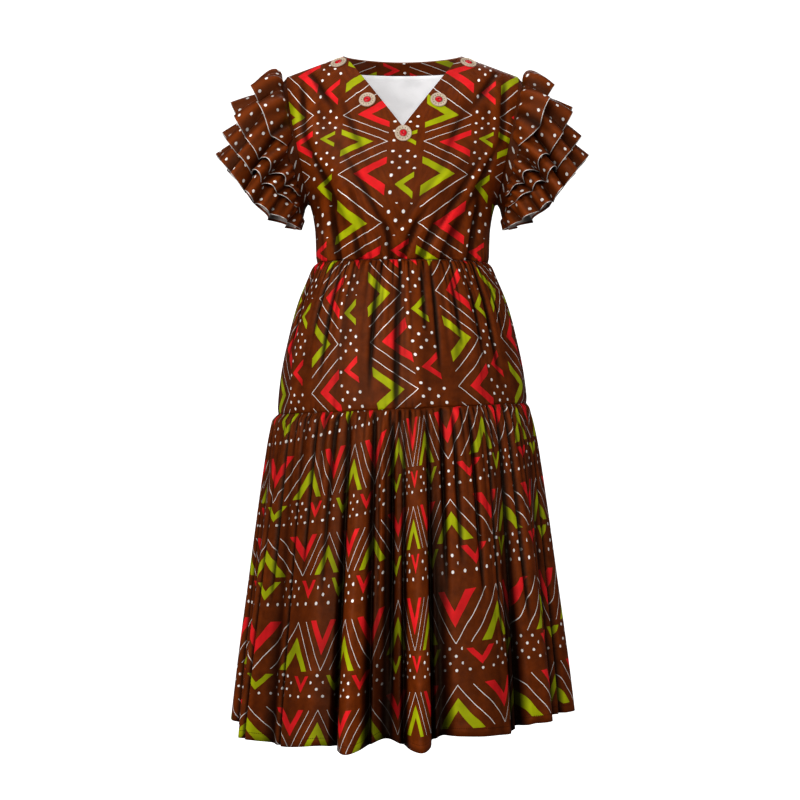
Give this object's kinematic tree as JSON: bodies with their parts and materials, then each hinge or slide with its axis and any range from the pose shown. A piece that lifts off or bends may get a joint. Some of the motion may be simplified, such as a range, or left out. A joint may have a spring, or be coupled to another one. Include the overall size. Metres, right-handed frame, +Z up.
{
  "type": "tiered ruffle-sleeve midi dress",
  "caption": "Knee-length tiered dress with a high waist seam, gathered skirt tiers, V-neck, ruffled short sleeves and round stone-set buttons along the neckline.",
  "frame": {"origin": "midway between the two shoulder seams, at the height where they meet the neckline, which is where the wearer carries the dress", "axes": "+Z up, -Y the front of the dress, +X to the viewer's right as seen from the front"},
  "size_m": [0.6444, 0.5293, 1.156],
  "materials": {
    "printed_cotton": "brown cotton with a polished face, printed with red and green chevrons, white dots and thin white zigzag lines",
    "dotted_cotton": "brown cotton with a polished face, printed with white dots",
    "white_lining": "plain white cotton lining",
    "button_beige": "beige disc with small glittering pits",
    "stone_red": "glossy red faceted stone"
  },
  "bodies": {
    "root": {"bodice_front": "printed_cotton", "bodice_back": "printed_cotton", "neck_facing_back": "printed_cotton", "bodice_lining_back": "white_lining", "skirt_middle_front": "printed_cotton", "skirt_middle_back": "printed_cotton", "skirt_lower_front": "printed_cotton", "skirt_lower_back": "printed_cotton", "sleeve_left": "printed_cotton", "sleeve_right": "printed_cotton", "ruffle_top_left": "dotted_cotton", "ruffle_second_left": "dotted_cotton", "ruffle_third_left": "dotted_cotton", "ruffle_lowest_left": "dotted_cotton", "ruffle_top_right": "dotted_cotton", "ruffle_second_right": "dotted_cotton", "ruffle_third_right": "dotted_cotton", "ruffle_lowest_right": "dotted_cotton", "button_shoulder_left": "button_beige", "button_neck_left": "button_beige", "button_centre": "button_beige", "button_neck_right": "button_beige", "button_shoulder_right": "button_beige", "stone_shoulder_left": "stone_red", "stone_neck_left": "stone_red", "stone_centre": "stone_red", "stone_neck_right": "stone_red", "stone_shoulder_right": "stone_red"}
  },
  "joints": []
}
